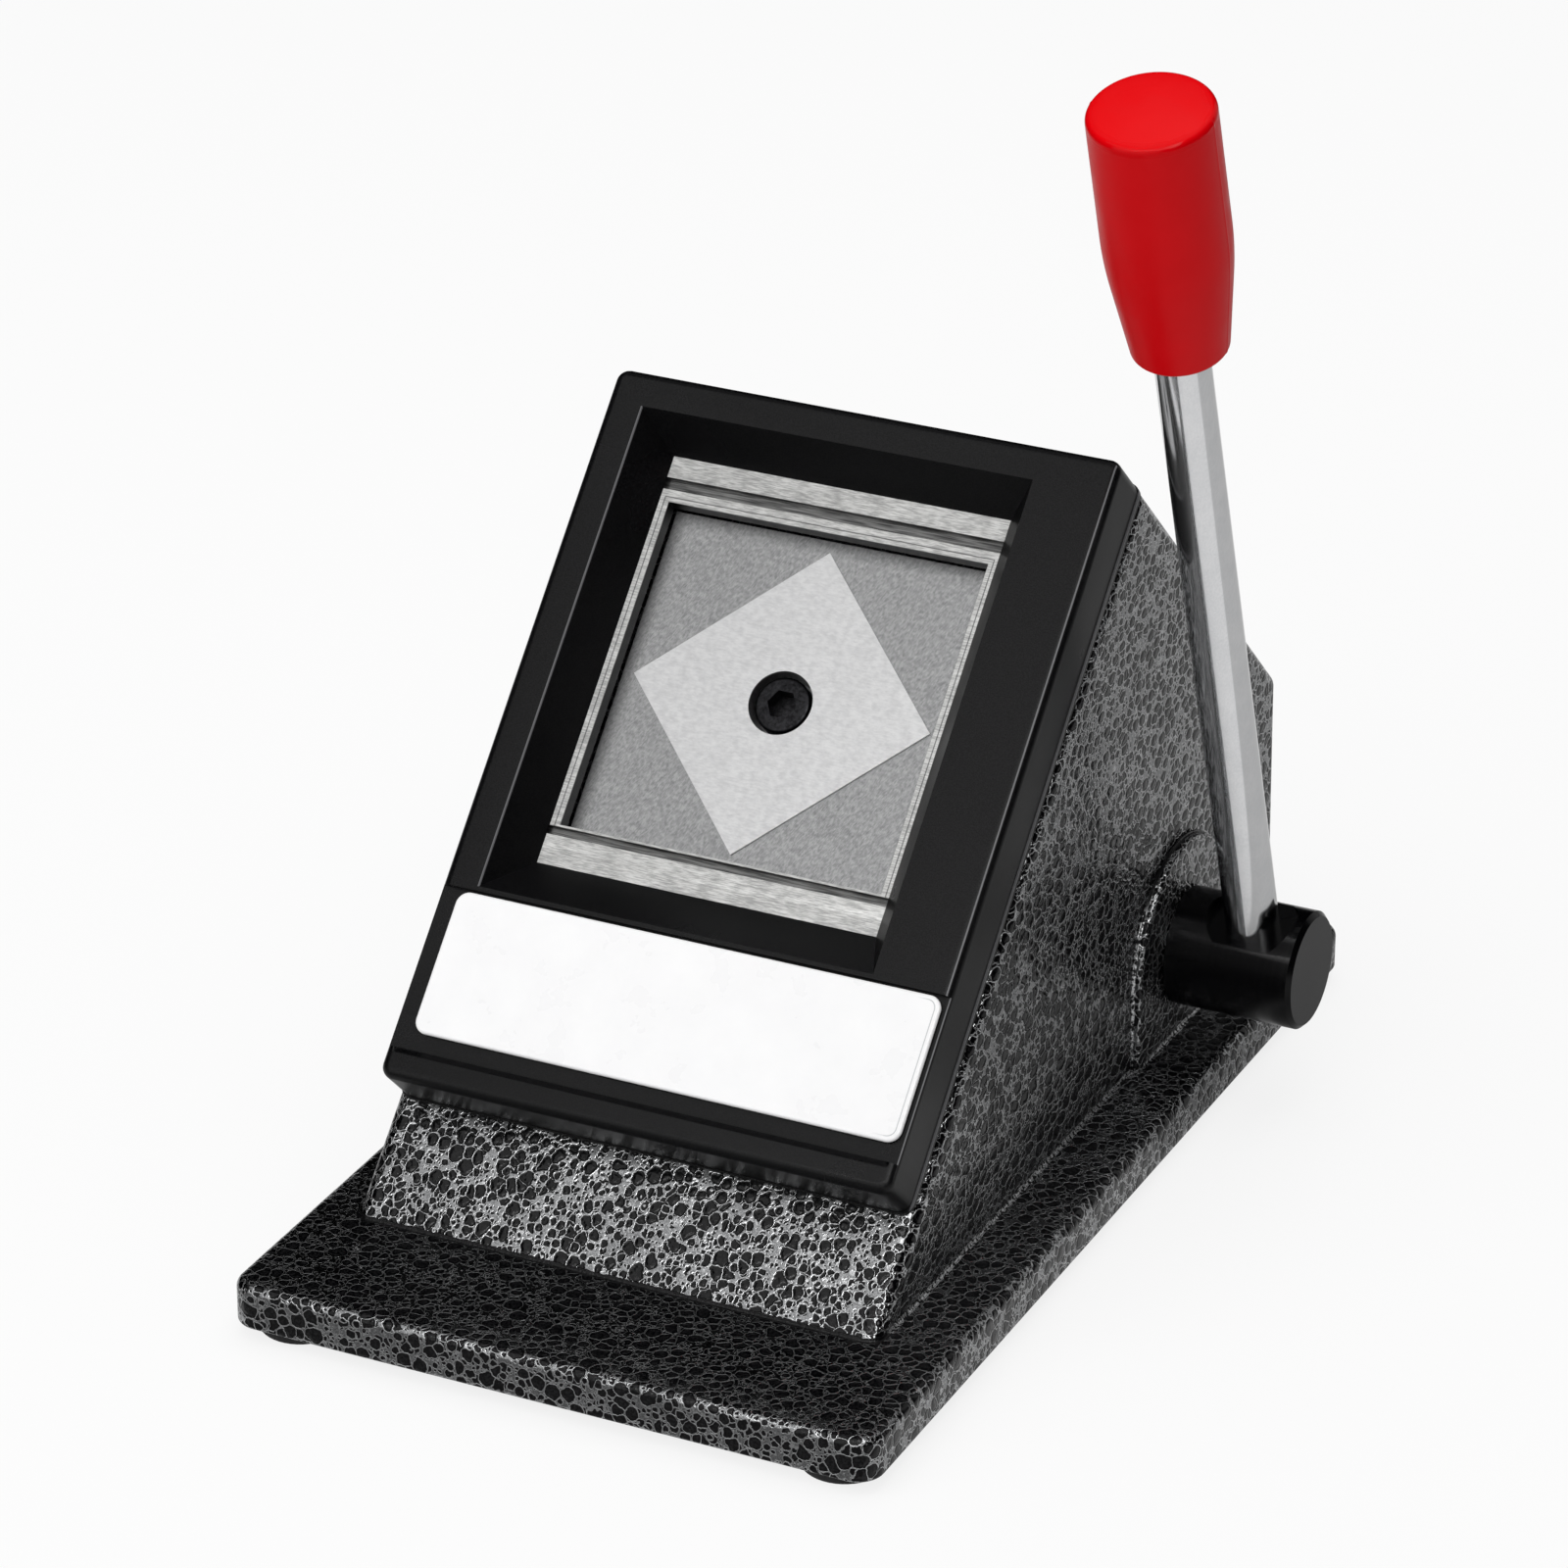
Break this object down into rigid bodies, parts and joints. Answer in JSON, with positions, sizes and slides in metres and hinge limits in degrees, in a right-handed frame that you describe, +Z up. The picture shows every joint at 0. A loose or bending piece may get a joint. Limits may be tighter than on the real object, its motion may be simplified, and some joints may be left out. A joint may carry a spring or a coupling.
{
  "type": "photo cutter",
  "caption": "Desk-top photo cutter: a side lever turns a cam that lifts a square punch through a ground die set in a sloping black bezel.",
  "frame": {"origin": "centre of the base plate, level with the bottom of its feet, on the surface that it stands on", "axes": "+X to the user's right, the side of the lever; +Y to the back, away from the user; +Z up"},
  "size_m": [0.1114, 0.172, 0.1754],
  "materials": {
    "hammered_paint": "hammered enamel, glossy cells",
    "black_rubber": "matt",
    "zinc_screws": "zinc plated",
    "black_moulding": "satin moulding",
    "white_plate": "bare white",
    "ground_steel": "surface ground",
    "shim_steel": "rolled sheet",
    "punch_steel": "ground and brushed",
    "bright_plate": "fine satin",
    "punch_screw_steel": "dark steel",
    "machined_steel": "machined",
    "spring_steel": "drawn wire",
    "bronze": "sintered bronze",
    "black_hub": "black satin",
    "chrome_rod": "bright chrome",
    "red_grip": "moulded red vinyl"
  },
  "bodies": {
    "frame": {"base_plate": "hammered_paint", "rubber_feet": "black_rubber", "base_screws": "zinc_screws", "body_housing": "hammered_paint", "bezel": "black_moulding", "bezel_screws": "zinc_screws", "label_plate": "white_plate", "photo_guide": "shim_steel", "die_plate": "ground_steel", "die_screws": "zinc_screws", "guide_pillars": "machined_steel", "pillar_rings": "spring_steel", "return_springs": "spring_steel", "left_bush": "bronze", "right_bush": "bronze"},
    "lever": {"drive_shaft": "machined_steel", "cam": "machined_steel", "cam_key": "machined_steel", "shaft_collar": "machined_steel", "collar_screw": "zinc_screws", "lever_hub": "black_hub", "hub_screw": "zinc_screws", "lever_rod": "chrome_rod", "lever_grip": "red_grip"},
    "punch": {"punch": "punch_steel", "punch_face_plate": "bright_plate", "punch_screw": "punch_screw_steel", "punch_holder": "machined_steel", "pillar_bushes": "bronze", "roller_pin": "machined_steel"},
    "roller": {"cam_roller": "machined_steel"}
  },
  "joints": [
    {"name": "lever_swing", "type": "hinge", "parent": "frame", "child": "lever", "pos_m": [0.0524, 0.0435, 0.0225], "axis": [1, 0, 0], "range_deg": [0, 50], "stiffness_Nm_per_rad": 0.25, "springref_deg": -20.05},
    {"name": "punch_slide", "type": "slide", "parent": "frame", "child": "punch", "axis": [0, -0.7193, 0.6947], "range_m": [0, 0.0042], "deforming": ["return_springs"]},
    {"name": "roller_spin", "type": "hinge", "parent": "punch", "child": "roller", "pos_m": [-0.0049, 0.03114, 0.04069], "axis": [1, 0, 0], "range_deg": [-170, 0]}
  ],
  "couplings": [
    {"joint": "punch_slide", "follows": "lever_swing", "m_per_rad": 0.0048128},
    {"joint": "roller_spin", "follows": "lever_swing", "ratio": -3}
  ]
}
